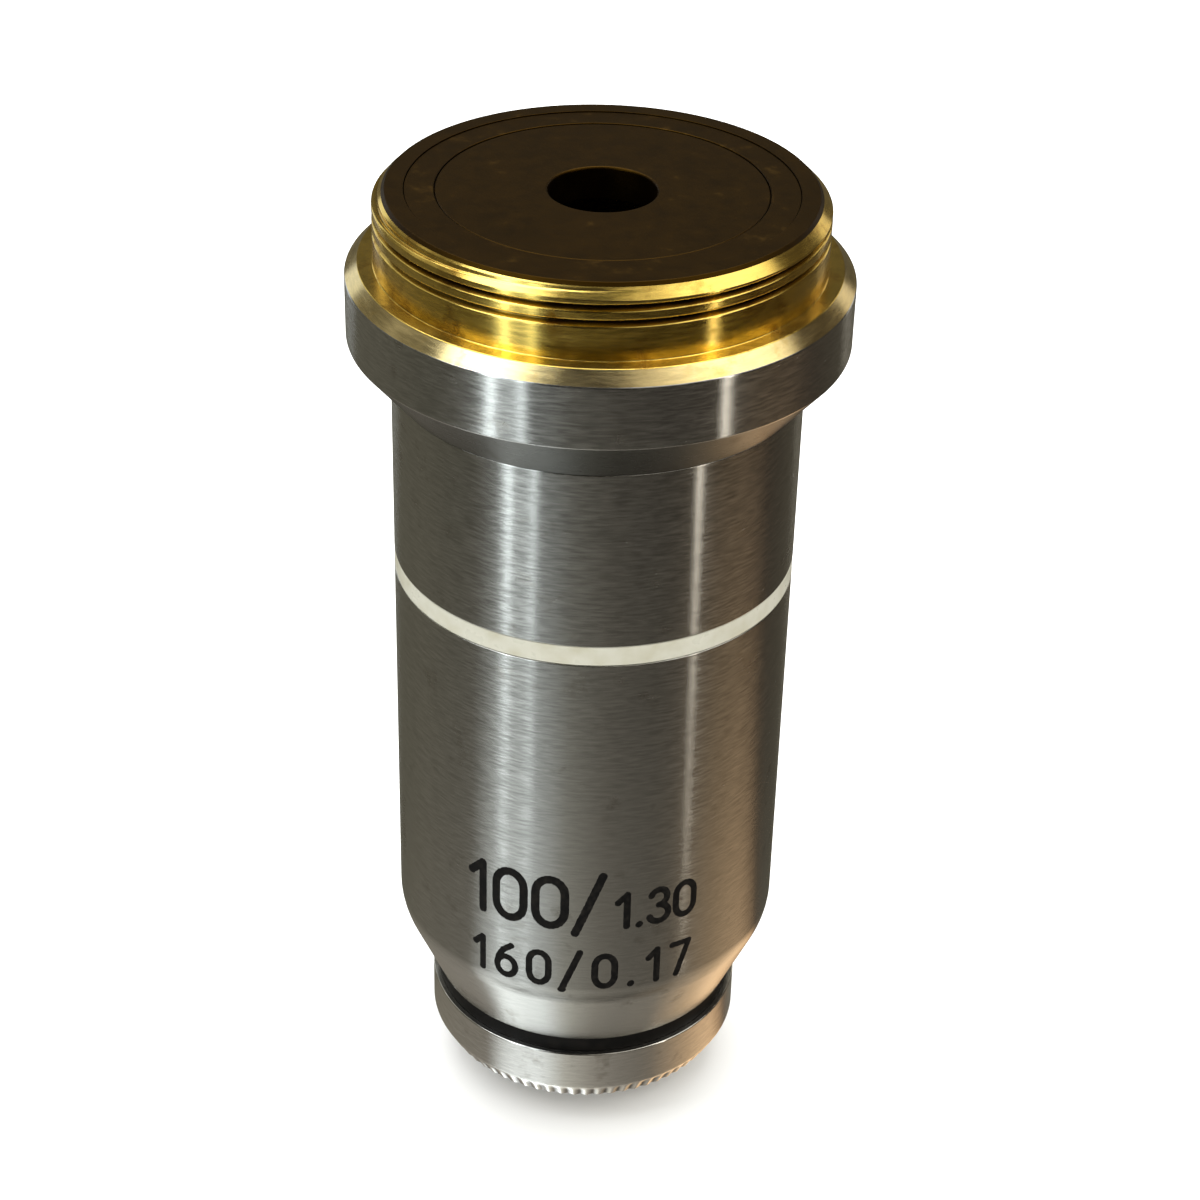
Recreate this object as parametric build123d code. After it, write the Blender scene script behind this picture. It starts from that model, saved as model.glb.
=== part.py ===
from build123d import *
import os
from math import cos, pi, sin, sqrt

# A microscope objective for oil immersion, with a lens carrier that slides back on a spring.
# Millimetres. The origin is the centre of the shoulder seat that meets the nosepiece.
# +Z runs along the optical axis towards the eyepiece, so the front lens points down.

# Distances that the microscope sets
PARFOCAL_DISTANCE = 45.0
WORKING_DISTANCE = 0.1

# Mounting thread and shoulder
THREAD_R = 10.16
THREAD_HEIGHT = 3.35
THREAD_LEAD_IN = 0.58
SEAT_WIDTH = 0.67
SHOULDER_CHAMFER = 0.6
SHOULDER_HEIGHT = 3.5
SHOULDER_TAPER = 2.35

# Rear recess, rear stop and the ring over its flange
REAR_WALL = 1.41
REAR_RECESS_DEPTH = 1.6
REAR_RING_WIDTH = 1.31
REAR_RING_RECESS = 0.05
STOP_HOLE_R = 2.4
STOP_HOLE_CHAMFER = 0.15
STOP_FLANGE_GAP = 0.15
STOP_FLANGE_THICKNESS = 0.6
STOP_RECESS = 0.08

# Walls of the barrel, from the bore outwards
CARRIER_BORE_R = 4.6
CARRIER_WALL = 2.66
GUIDE_WALL = 1.25
SLEEVE_WALL = 0.86

# Nose of the sleeve, from the bore outwards
SHANK_STEP = 0.27
NECK_WALL = 1.24
NECK_CLEARANCE = 0.06
SPIGOT_WALL = 0.9
NOSE_END_WIDTH = 0.54
NOSE_TAPER_LENGTH = 4.15
STOP_DEPTH = 0.65

# Enamel ring that gives the magnification
COLOUR_BAND_START = 8.77
COLOUR_BAND_WIDTH = 1.02
COLOUR_BAND_DEPTH = 0.3
ENAMEL_SHRINK = 0.02

# Black ring that says the lens is for immersion
IMMERSION_BAND_WIDTH = 0.87
IMMERSION_BAND_WALL = 0.5

# Front ring with a serrated edge
FRONT_RING_WALL = 0.725
FRONT_RING_LENGTH = 3.2
FRONT_RING_EDGE_WIDTH = 0.555
FRONT_RING_EDGE_HEIGHT = 1.0
FRONT_RING_BREAK = 0.12
FRONT_RING_LIP = 1.17
SERRATIONS = 72
SERRATION_DEPTH = 0.28
SERRATION_START = 0.02

# Return spring, its seat and washer
SPRING_SEAT_DEPTH = 4.0
SPRING_SEAT_WIDTH = 1.3
SPRING_LENGTH = 10.0
SPRING_TURNS = 6
SPRING_SIDE_GAP = 0.4
WIRE_R = 0.45
WIRE_SIDES = 8
WASHER_THICKNESS = 0.5
WASHER_WIDTH = 2.0

# Travel of the carrier, and the guide pin in its slot
TRAVEL = 1.6
CARRIER_END_GAP = 0.25
PIN_DEPTH = 6.0
PIN_R = 0.95
PIN_SHANK_R = 0.7
PIN_END_GAP = 0.15
SLOT_END_GAP = 0.25

# Nose cell
TIP_R = 3.3
TIP_LENGTH = 1.68
TIP_CONE_HEIGHT = 1.6
NOSE_STEP = 0.43
NOSE_SIDE_GAP = 0.15
SHANK_LENGTH = 2.8
NOSE_BORE_R = 3.6
TIP_FLARE_R = 2.2
TIP_LIP_THICKNESS = 0.25
TIP_LIP_WIDTH = 0.1

# Front lens; the depth of a lens surface is its rise from the rim to the vertex
FRONT_LENS_R = 1.05
FRONT_LENS_DEPTH = 0.77
FRONT_LENS_EDGE = 0.43
FRONT_LENS_RECESS = 0.03

# Meniscus lens and its cell
MENISCUS_R = 2.2
MENISCUS_LOWER_DEPTH = 0.88
MENISCUS_UPPER_DEPTH = 1.63
MENISCUS_EDGE = 0.25
MENISCUS_CELL_START = 1.5
MENISCUS_CELL_HEIGHT = 2.4
MENISCUS_CELL_LIP = 0.2

# Lower cemented pair and its cell
LOWER_PAIR_R = 3.3
LOWER_PAIR_DEPTH = 0.99
LOWER_CEMENT_DEPTH = 1.74
LOWER_CROWN_EDGE = 0.27
LOWER_FLINT_THICKNESS = 0.8
LOWER_CELL_HEIGHT = 4.0

# Upper cemented pair and its cell
UPPER_PAIR_R = 3.6
UPPER_PAIR_DEPTH = 0.75
UPPER_CEMENT_DEPTH = 1.34
UPPER_CROWN_EDGE = 0.31
UPPER_FLINT_THICKNESS = 0.9
UPPER_CELL_HEIGHT = 3.6

# Cells, spacers and the ring that locks the stack
CELL_LIP_HEIGHT = 0.4
CELL_LIP_WIDTH = 0.3
PAIR_SPACER_HEIGHT = 1.8
TOP_SPACER_HEIGHT = 3.0
SPACER_WALL = 0.7
LOCK_RING_HEIGHT = 1.5
LOCK_RING_WALL = 1.2
SPANNER_SLOT_WIDTH = 1.0
SPANNER_SLOT_DEPTH = 0.7

# Fits
FIT = 0.03
RUNNING_FIT = 0.04
SEAT_GAP = 0.02
THREAD_RUNOUT = 0.1
CEMENT = 0.02

# Radii of the barrel, from the bore of the carrier outwards
cell_r = CARRIER_BORE_R - FIT
carrier_r = CARRIER_BORE_R + CARRIER_WALL
guide_bore_r = carrier_r + RUNNING_FIT
guide_tube_r = guide_bore_r + GUIDE_WALL
sleeve_bore_r = guide_tube_r + FIT
barrel_r = sleeve_bore_r + SLEEVE_WALL
spring_seat_r = guide_bore_r - SPRING_SEAT_WIDTH
spring_r = guide_bore_r - SPRING_SIDE_GAP - WIRE_R

# Radii of the nose, from the bore of the carrier outwards
shank_r = CARRIER_BORE_R + SHANK_STEP
nose_r = shank_r + NOSE_STEP
front_ring_bore_r = nose_r + NOSE_SIDE_GAP
neck_r = shank_r + FIT + NECK_WALL
neck_bore_r = neck_r + NECK_CLEARANCE
spigot_r = neck_bore_r + SPIGOT_WALL
taper_end_r = spigot_r + NOSE_END_WIDTH
immersion_band_r = spigot_r + IMMERSION_BAND_WALL
front_ring_r = spigot_r + FRONT_RING_WALL
front_ring_edge_r = front_ring_r - FRONT_RING_EDGE_WIDTH

# Radii of the shoulder and the rear end, from the thread
seat_r = THREAD_R + SEAT_WIDTH
shoulder_r = seat_r + SHOULDER_CHAMFER
rear_recess_r = THREAD_R - REAR_WALL
rear_ring_bore_r = rear_recess_r - FIT - REAR_RING_WIDTH
stop_boss_r = rear_ring_bore_r - FIT
stop_flange_r = rear_recess_r - STOP_FLANGE_GAP

# Levels of the rear end, down from the rear face
rear_z = THREAD_HEIGHT
recess_z = rear_z - REAR_RECESS_DEPTH
stop_flange_z = recess_z + STOP_FLANGE_THICKNESS
shoulder_end_z = -SHOULDER_HEIGHT
barrel_top_z = shoulder_end_z - SHOULDER_TAPER
band_top_z = barrel_top_z - COLOUR_BAND_START
band_end_z = band_top_z - COLOUR_BAND_WIDTH

# Levels of the nose, up from the tip
tip_z = -(PARFOCAL_DISTANCE - WORKING_DISTANCE)
front_ring_end_z = tip_z + TIP_LENGTH
front_edge_z = front_ring_end_z + FRONT_RING_EDGE_HEIGHT
lip_z = front_ring_end_z + FRONT_RING_LIP
spigot_end_z = lip_z + THREAD_RUNOUT
front_ring_top_z = front_ring_end_z + FRONT_RING_LENGTH
taper_end_z = front_ring_top_z + IMMERSION_BAND_WIDTH
taper_top_z = taper_end_z + NOSE_TAPER_LENGTH
stop_z = taper_top_z - STOP_DEPTH

# Levels of the carrier and the spring
spring_top_z = -SPRING_SEAT_DEPTH
washer_top_z = spring_top_z - SPRING_LENGTH
carrier_top_z = washer_top_z - WASHER_THICKNESS
carrier_shoulder_z = stop_z + SEAT_GAP
carrier_end_z = lip_z + CARRIER_END_GAP
pin_z = carrier_top_z - PIN_DEPTH

# Levels of the lens stack, up from the tip
meniscus_cell_z = tip_z + MENISCUS_CELL_START
shank_top_z = carrier_end_z + SHANK_LENGTH
lower_cell_z = shank_top_z
pair_spacer_z = lower_cell_z + LOWER_CELL_HEIGHT
upper_cell_z = pair_spacer_z + PAIR_SPACER_HEIGHT
top_spacer_z = upper_cell_z + UPPER_CELL_HEIGHT
lock_ring_z = top_spacer_z + TOP_SPACER_HEIGHT
lock_ring_top_z = lock_ring_z + LOCK_RING_HEIGHT


def turned(*outline):
    """Solid turned about the optical axis from an outline of (radius, height) points."""
    return revolve(make_face(Plane.XZ * Polyline(*outline, close=True)), Axis.Z)


def tube(outer_r, inner_r, low_z, high_z):
    """Plain ring or tube between two heights."""
    return turned((inner_r, low_z), (outer_r, low_z), (outer_r, high_z), (inner_r, high_z))


def rise(depth, rim_r, radius):
    """Height of a spherical surface above its vertex at a radius, from its depth at the rim."""
    curve = (rim_r ** 2 + depth ** 2) / (2 * depth)
    return curve - sqrt(curve ** 2 - radius ** 2)


def surface(vertex_z, depth, rim_r, side):
    """Half section of a lens surface, from the axis to the rim on the given side of the vertex."""
    if depth == 0:
        return Line((0, vertex_z), (rim_r, vertex_z))
    middle_r = rim_r / 2
    middle_z = vertex_z + side * rise(depth, rim_r, middle_r)
    return ThreePointArc((0, vertex_z), (middle_r, middle_z), (rim_r, vertex_z + side * depth))


def lens(lower, upper):
    """Lens turned from its lower and upper half sections."""
    rim = Line(lower @ 1, upper @ 1)
    axis_edge = Line(upper @ 0, lower @ 0)
    return revolve(make_face(Plane.XZ * Curve([lower, rim, upper, axis_edge])), Axis.Z)


def mount_body():
    """Brass body: thread, shoulder and the guide tube that hangs inside the sleeve."""
    body = turned(
        (rear_recess_r, rear_z),
        (THREAD_R - THREAD_LEAD_IN, rear_z),
        (THREAD_R, rear_z - THREAD_LEAD_IN),
        (THREAD_R, 0),
        (seat_r, 0),
        (shoulder_r, -SHOULDER_CHAMFER),
        (shoulder_r, shoulder_end_z),
        (barrel_r, barrel_top_z),
        (guide_tube_r, barrel_top_z),
        (guide_tube_r, stop_z),
        (guide_bore_r, stop_z),
        (guide_bore_r, spring_top_z),
        (spring_seat_r, spring_top_z),
        (spring_seat_r, recess_z),
        (rear_recess_r, recess_z),
    )
    return body - guide_slot()


def guide_slot():
    """Round-ended slot through the back of the guide tube, as long as the travel."""
    half_width = PIN_R + RUNNING_FIT
    low_z = pin_z - PIN_R - SLOT_END_GAP + half_width
    high_z = pin_z + PIN_R + TRAVEL + SLOT_END_GAP - half_width
    across = Plane.XZ * Pos(0, (low_z + high_z) / 2)
    outline = across * SlotCenterToCenter(high_z - low_z, 2 * half_width, rotation=90)
    return extrude(outline, -guide_tube_r - FIT)


def rear_stop():
    """Black disc with the exit hole, clamped by its thin flange."""
    top_z = rear_z - STOP_RECESS
    return turned(
        (STOP_HOLE_R, recess_z),
        (stop_flange_r, recess_z),
        (stop_flange_r, stop_flange_z),
        (stop_boss_r, stop_flange_z),
        (stop_boss_r, top_z),
        (STOP_HOLE_R + STOP_HOLE_CHAMFER, top_z),
        (STOP_HOLE_R, top_z - STOP_HOLE_CHAMFER),
    )


def rear_ring():
    """Threaded ring that holds the rear stop down."""
    return tube(rear_recess_r - FIT, rear_ring_bore_r, stop_flange_z, rear_z - REAR_RING_RECESS)


def barrel_sleeve():
    """Plated sleeve over the guide tube, tapered at the nose and stepped inside as the carrier's stop."""
    groove_r = barrel_r - COLOUR_BAND_DEPTH
    return turned(
        (barrel_r, barrel_top_z),
        (barrel_r, band_top_z),
        (groove_r, band_top_z),
        (groove_r, band_end_z),
        (barrel_r, band_end_z),
        (barrel_r, taper_top_z),
        (taper_end_r, taper_end_z),
        (spigot_r, taper_end_z),
        (spigot_r, spigot_end_z),
        (neck_bore_r, spigot_end_z),
        (neck_bore_r, stop_z),
        (sleeve_bore_r, stop_z),
        (sleeve_bore_r, barrel_top_z),
    )


def colour_band():
    """Enamel that fills the groove of the sleeve, shrunk just below the metal."""
    inner_r = barrel_r - COLOUR_BAND_DEPTH + ENAMEL_SHRINK
    return tube(barrel_r - ENAMEL_SHRINK, inner_r, band_end_z, band_top_z)


def immersion_band():
    """Black ring held on the spigot between the sleeve and the front ring."""
    return tube(immersion_band_r, spigot_r + FIT, front_ring_top_z, taper_end_z)


def serration_outline(height, root_r, crest_r):
    """Star outline with one root and one crest for each serration."""
    step = pi / SERRATIONS
    radii = (root_r, crest_r)
    points = []
    for index in range(2 * SERRATIONS):
        radius = radii[index % 2]
        points.append((radius * cos(index * step), radius * sin(index * step)))
    return Pos(0, 0, height) * make_face(Polyline(*points, close=True))


def front_ring():
    """Ring screwed on the spigot; its sloping edge is serrated for grip."""
    thread_r = spigot_r + FIT
    upper = turned(
        (thread_r, front_ring_top_z),
        (front_ring_r - FRONT_RING_BREAK, front_ring_top_z),
        (front_ring_r, front_ring_top_z - FRONT_RING_BREAK),
        (front_ring_r, front_edge_z),
        (front_ring_bore_r, front_edge_z),
        (front_ring_bore_r, lip_z),
        (thread_r, lip_z),
    )
    edge = turned(
        (front_ring_bore_r, front_edge_z),
        (front_ring_r, front_edge_z),
        (front_ring_edge_r, front_ring_end_z),
        (front_ring_bore_r, front_ring_end_z),
    )
    start = serration_outline(
        front_edge_z, front_ring_r - SERRATION_START, front_ring_r + SERRATION_DEPTH)
    finish = serration_outline(
        front_ring_end_z, front_ring_edge_r - SERRATION_DEPTH, front_ring_edge_r + SERRATION_DEPTH)
    return upper + (edge & loft([start, finish], ruled=True))


def return_spring():
    """Compression spring of eight-sided wire with ends ground flat, between the body and the washer."""
    length = spring_top_z - washer_top_z
    path = Pos(0, 0, washer_top_z) * Helix(length / SPRING_TURNS, length, spring_r)
    section = Plane(path @ 0, z_dir=path % 0) * RegularPolygon(WIRE_R, WIRE_SIDES)
    ground = tube(spring_r + 2 * WIRE_R, spring_r - 2 * WIRE_R, washer_top_z, spring_top_z)
    return sweep(section, path, is_frenet=True) & ground


def lens_carrier():
    """Tube that holds the lens stack and slides in the guide tube."""
    body = turned(
        (neck_r, carrier_end_z),
        (neck_r, carrier_shoulder_z),
        (carrier_r, carrier_shoulder_z),
        (carrier_r, carrier_top_z),
        (CARRIER_BORE_R, carrier_top_z),
        (CARRIER_BORE_R, shank_top_z),
        (shank_r + FIT, shank_top_z),
        (shank_r + FIT, carrier_end_z),
    )
    pin_hole = Plane.XZ * Pos(0, pin_z) * Circle(PIN_SHANK_R + FIT)
    return body - extrude(pin_hole, -carrier_r - FIT)


def guide_pin():
    """Screw in the carrier whose head runs in the slot and stops it turning."""
    seat = Plane(origin=(0, carrier_r, pin_z), z_dir=(0, 1, 0))
    head_length = guide_tube_r - PIN_END_GAP - carrier_r
    head = extrude(seat * Circle(PIN_R), head_length)
    shank = extrude(seat * Circle(PIN_SHANK_R), CARRIER_BORE_R + PIN_END_GAP - carrier_r)
    return head + shank


def thrust_washer():
    """Flat washer between the spring and the end of the carrier."""
    outer_r = guide_bore_r - SPRING_SIDE_GAP / 2
    return tube(outer_r, outer_r - WASHER_WIDTH, carrier_top_z, washer_top_z)


def nose_cell():
    """Front cell with the conical tip; its shank screws into the carrier."""
    bore_r = FRONT_LENS_R + FIT
    lip_r = FRONT_LENS_R - TIP_LIP_WIDTH
    vertex_z = tip_z + FRONT_LENS_RECESS + FRONT_LENS_EDGE + FRONT_LENS_DEPTH
    lip_low_z = vertex_z - rise(FRONT_LENS_DEPTH, FRONT_LENS_R, lip_r) + SEAT_GAP
    return turned(
        (bore_r, tip_z),
        (TIP_R, tip_z),
        (nose_r, tip_z + TIP_CONE_HEIGHT),
        (nose_r, carrier_end_z),
        (shank_r, carrier_end_z),
        (shank_r, shank_top_z),
        (NOSE_BORE_R, shank_top_z),
        (NOSE_BORE_R, meniscus_cell_z),
        (TIP_FLARE_R, meniscus_cell_z),
        (lip_r, lip_low_z + TIP_LIP_THICKNESS),
        (lip_r, lip_low_z),
        (bore_r, lip_low_z),
    )


def front_lens():
    """Small plano-convex lens whose flat side meets the oil."""
    flat_z = tip_z + FRONT_LENS_RECESS
    dome_z = flat_z + FRONT_LENS_EDGE + FRONT_LENS_DEPTH
    return lens(surface(flat_z, 0, FRONT_LENS_R, 1), surface(dome_z, FRONT_LENS_DEPTH, FRONT_LENS_R, -1))


def cell(outer_r, rim_r, lip_r, low_z, lip_height, height):
    """Lens cell: a ring with an inner lip that the lens rests on."""
    bore_r = rim_r + FIT
    return turned(
        (lip_r, low_z),
        (outer_r, low_z),
        (outer_r, low_z + height),
        (bore_r, low_z + height),
        (bore_r, low_z + lip_height),
        (lip_r, low_z + lip_height),
    )


def meniscus_cell():
    """Cell that sits in the bore of the nose cell."""
    return cell(NOSE_BORE_R - FIT, MENISCUS_R, MENISCUS_R - CELL_LIP_WIDTH,
                meniscus_cell_z, MENISCUS_CELL_LIP, MENISCUS_CELL_HEIGHT)


def meniscus_lens():
    """Deep meniscus, hollow towards the front lens."""
    rim_z = meniscus_cell_z + MENISCUS_CELL_LIP
    hollow_z = rim_z + MENISCUS_LOWER_DEPTH
    dome_z = rim_z + MENISCUS_EDGE + MENISCUS_UPPER_DEPTH
    hollow = surface(hollow_z, MENISCUS_LOWER_DEPTH, MENISCUS_R, -1)
    return lens(hollow, surface(dome_z, MENISCUS_UPPER_DEPTH, MENISCUS_R, -1))


def pair_cell(low_z, rim_r, height):
    """Cell for one cemented pair."""
    return cell(cell_r, rim_r, rim_r - CELL_LIP_WIDTH, low_z, CELL_LIP_HEIGHT, height)


def cemented_pair(cell_z, rim_r, outer_depth, cement_depth, crown_edge, flint_thickness):
    """Crown and flint of a cemented pair, resting on the lip of their cell."""
    lip_z = cell_z + CELL_LIP_HEIGHT + SEAT_GAP
    outer_z = lip_z - rise(outer_depth, rim_r, rim_r - CELL_LIP_WIDTH)
    crown_z = outer_z + outer_depth + crown_edge + cement_depth
    flint_z = crown_z + CEMENT
    crown = lens(surface(outer_z, outer_depth, rim_r, 1), surface(crown_z, cement_depth, rim_r, -1))
    flint = lens(surface(flint_z, cement_depth, rim_r, -1), surface(flint_z + flint_thickness, 0, rim_r, 1))
    return crown, flint


def lock_ring():
    """Threaded ring over the lens stack, with two slots for a spanner."""
    ring = tube(cell_r, cell_r - LOCK_RING_WALL, lock_ring_z, lock_ring_top_z)
    slot = Pos(0, 0, lock_ring_top_z) * Box(2 * CARRIER_BORE_R, SPANNER_SLOT_WIDTH, 2 * SPANNER_SLOT_DEPTH)
    return ring - slot


lower_crown, lower_flint = cemented_pair(
    lower_cell_z, LOWER_PAIR_R, LOWER_PAIR_DEPTH, LOWER_CEMENT_DEPTH,
    LOWER_CROWN_EDGE, LOWER_FLINT_THICKNESS)
upper_crown, upper_flint = cemented_pair(
    upper_cell_z, UPPER_PAIR_R, UPPER_PAIR_DEPTH, UPPER_CEMENT_DEPTH,
    UPPER_CROWN_EDGE, UPPER_FLINT_THICKNESS)

nodes = {
    "mount_body": mount_body(),
    "rear_stop": rear_stop(),
    "rear_ring": rear_ring(),
    "barrel_sleeve": barrel_sleeve(),
    "colour_band": colour_band(),
    "immersion_band": immersion_band(),
    "front_ring": front_ring(),
    "return_spring": return_spring(),
    "lens_carrier": lens_carrier(),
    "guide_pin": guide_pin(),
    "thrust_washer": thrust_washer(),
    "nose_cell": nose_cell(),
    "front_lens": front_lens(),
    "meniscus_cell": meniscus_cell(),
    "meniscus_lens": meniscus_lens(),
    "lower_pair_cell": pair_cell(lower_cell_z, LOWER_PAIR_R, LOWER_CELL_HEIGHT),
    "lower_crown_lens": lower_crown,
    "lower_flint_lens": lower_flint,
    "pair_spacer": tube(cell_r, cell_r - SPACER_WALL, pair_spacer_z, upper_cell_z),
    "upper_pair_cell": pair_cell(upper_cell_z, UPPER_PAIR_R, UPPER_CELL_HEIGHT),
    "upper_crown_lens": upper_crown,
    "upper_flint_lens": upper_flint,
    "top_spacer": tube(cell_r, cell_r - SPACER_WALL, top_spacer_z, lock_ring_z),
    "lock_ring": lock_ring(),
}

os.makedirs("parts", exist_ok=True)
for name, solid in nodes.items():
    solid.label = name
    export_step(solid, f"parts/{name}.step")
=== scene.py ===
import math

import bmesh
import bpy
import numpy as np
from mathutils import Matrix, Vector


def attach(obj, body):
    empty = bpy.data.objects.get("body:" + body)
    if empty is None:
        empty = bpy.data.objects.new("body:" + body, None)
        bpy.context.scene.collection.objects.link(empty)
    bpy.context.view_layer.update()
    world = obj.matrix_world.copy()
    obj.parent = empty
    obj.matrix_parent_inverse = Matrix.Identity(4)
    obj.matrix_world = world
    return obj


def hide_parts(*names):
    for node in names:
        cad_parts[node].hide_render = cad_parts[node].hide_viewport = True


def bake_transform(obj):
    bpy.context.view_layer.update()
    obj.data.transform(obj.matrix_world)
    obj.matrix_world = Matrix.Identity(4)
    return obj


# A microscope objective for oil immersion. It stands on its front end with the mounting thread up.
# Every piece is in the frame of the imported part: +Z is the optical axis, and the origin is the centre
# of the shoulder seat. Sizes are in millimetres and are turned into metres where a mesh is made.
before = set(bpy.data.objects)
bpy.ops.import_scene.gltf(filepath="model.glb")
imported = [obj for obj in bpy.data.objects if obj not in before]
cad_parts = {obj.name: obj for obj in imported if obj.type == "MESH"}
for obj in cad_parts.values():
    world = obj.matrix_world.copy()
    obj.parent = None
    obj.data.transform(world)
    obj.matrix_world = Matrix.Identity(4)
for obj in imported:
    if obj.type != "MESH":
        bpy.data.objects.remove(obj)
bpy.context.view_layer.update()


# The camera looks down on the objective from a hand's width away, with a short telephoto lens, and is
# turned by a degree and a half about its own axis.
MM = 0.001
CAMERA_PLACE = Vector((0, -110.3137, 51.5306)) * MM
CAMERA_AIM = Vector((0.3666, 0, -18.0691)) * MM
CAMERA_ROLL = math.radians(1.54)
LENS_LENGTH = 81.368
FILM_WIDTH = 36
NEAREST_SEEN = 0.005
FURTHEST_SEEN = 20

camera_data = bpy.data.cameras.new("camera")
camera_data.sensor_width = FILM_WIDTH
camera_data.lens = LENS_LENGTH
camera_data.clip_start = NEAREST_SEEN
camera_data.clip_end = FURTHEST_SEEN
camera_data.dof.use_dof = False
camera = bpy.data.objects.new("camera", camera_data)
camera_turn = (CAMERA_AIM - CAMERA_PLACE).to_track_quat("-Z", "Y").to_matrix().to_4x4()
camera.matrix_world = (Matrix.Translation(CAMERA_PLACE) @ camera_turn
                       @ Matrix.Rotation(CAMERA_ROLL, 4, "Z"))
bpy.context.scene.collection.objects.link(camera)
bpy.context.scene.camera = camera


# Mount body. One piece of turned brass: the mounting thread with its lead-in, the plain collar and the
# flat seat keep their bright brass, the shoulder below is chromium plated, and the rear face is
# blackened. The fine thread is cut here as a real helix, right-handed, with 36 turns to the inch.
REAR_Z = 3.35
RECESS_R = 8.75
RECESS_Z = 1.75
REAR_EDGE_R = 9.58
LEAD_IN_Z = 2.77
CREST_R = 10.16
SEAT_R = 10.83
SHOULDER_R = 11.43
SHOULDER_TOP = -0.6
UNDERSIDE_TOP = -3.5
UNDERSIDE_END = -5.85
BARREL_R = 9.44
GUIDE_R = 8.55
GUIDE_TOP = -7.5
GUIDE_BORE_R = 7.30
SPRING_SEAT_Z = -4.0
LIGHT_BORE_R = 6.0
SHARP_EDGE = 0.02

# The groove of the thread is THREAD_START high at the front and rises with the pitch. Its floor is
# flat where GROOVE_FLOOR exceeds one, and its flanks slope by GROOVE_FLANK for one pitch.
THREAD_PITCH = 25.4 / 36
THREAD_DEPTH = 0.34
THREAD_START = 2.42
THREAD_TOP = 3.3
THREAD_FADE = 0.05
THREAD_END = 1.3
THREAD_RUNOUT = 0.45
GROOVE_FLOOR = 1.2
GROOVE_FLANK = 4.6
THREAD_ROWS = (3.34, 0.5, 0.035)

# Where the finishes meet, and their numbers among the materials of the piece.
REAR_BLACK_R = 9.74
INSIDE_R = 9.3
SEAT_BREAK = -0.03
BRASS_END = -0.56
BRIGHT, BLACK, PLATED, WORN, SHADED_UNDERSIDE = range(5)

BRASS_TONE = "#F5D46E"
BRASS_TARNISH = "#A9802F"
EDGE_TONE = "#EAD59A"
EDGE_WORN = "#E2C67C"
# Dark brown for the bottoms of cuts: oil and dust there, and painted shade.
DIRT_AND_SHADE_TONE = "#2A1D0C"
PLATING_TONE = "#C6C6C1"
PLATING_DULL = "#A9A69D"
# The underside of the shoulder takes the plating in these darker tones: painted shade.
PLATING_SHADED = "#686864"
PLATING_SHADED_DULL = "#5C5A54"
BLACKENING_TONE = "#322206"
BLACKENING_WORN = "#503B17"

CORNER_STEPS = 5
FACES_OUT = 0.3
LEAST_DEPTH = 0.001


def corner(before, here, after, radius):
    """Places and outward normals of one rounded corner of an outline that runs clockwise."""
    arrive = (Vector(here) - Vector(before)).normalized()
    leave = (Vector(after) - Vector(here)).normalized()
    start_normal = Vector((-arrive.y, arrive.x))
    turn = math.atan2(arrive.cross(leave), arrive.dot(leave))
    side = -1 if turn > 0 else 1
    first = Vector(here) - arrive * radius * math.tan(abs(turn) / 2)
    centre = first - start_normal * radius * side
    for step in range(CORNER_STEPS + 1):
        angle = turn * step / CORNER_STEPS
        normal = Vector((start_normal.x * math.cos(angle) - start_normal.y * math.sin(angle),
                         start_normal.x * math.sin(angle) + start_normal.y * math.cos(angle)))
        yield centre + normal * radius * side, normal


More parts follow.
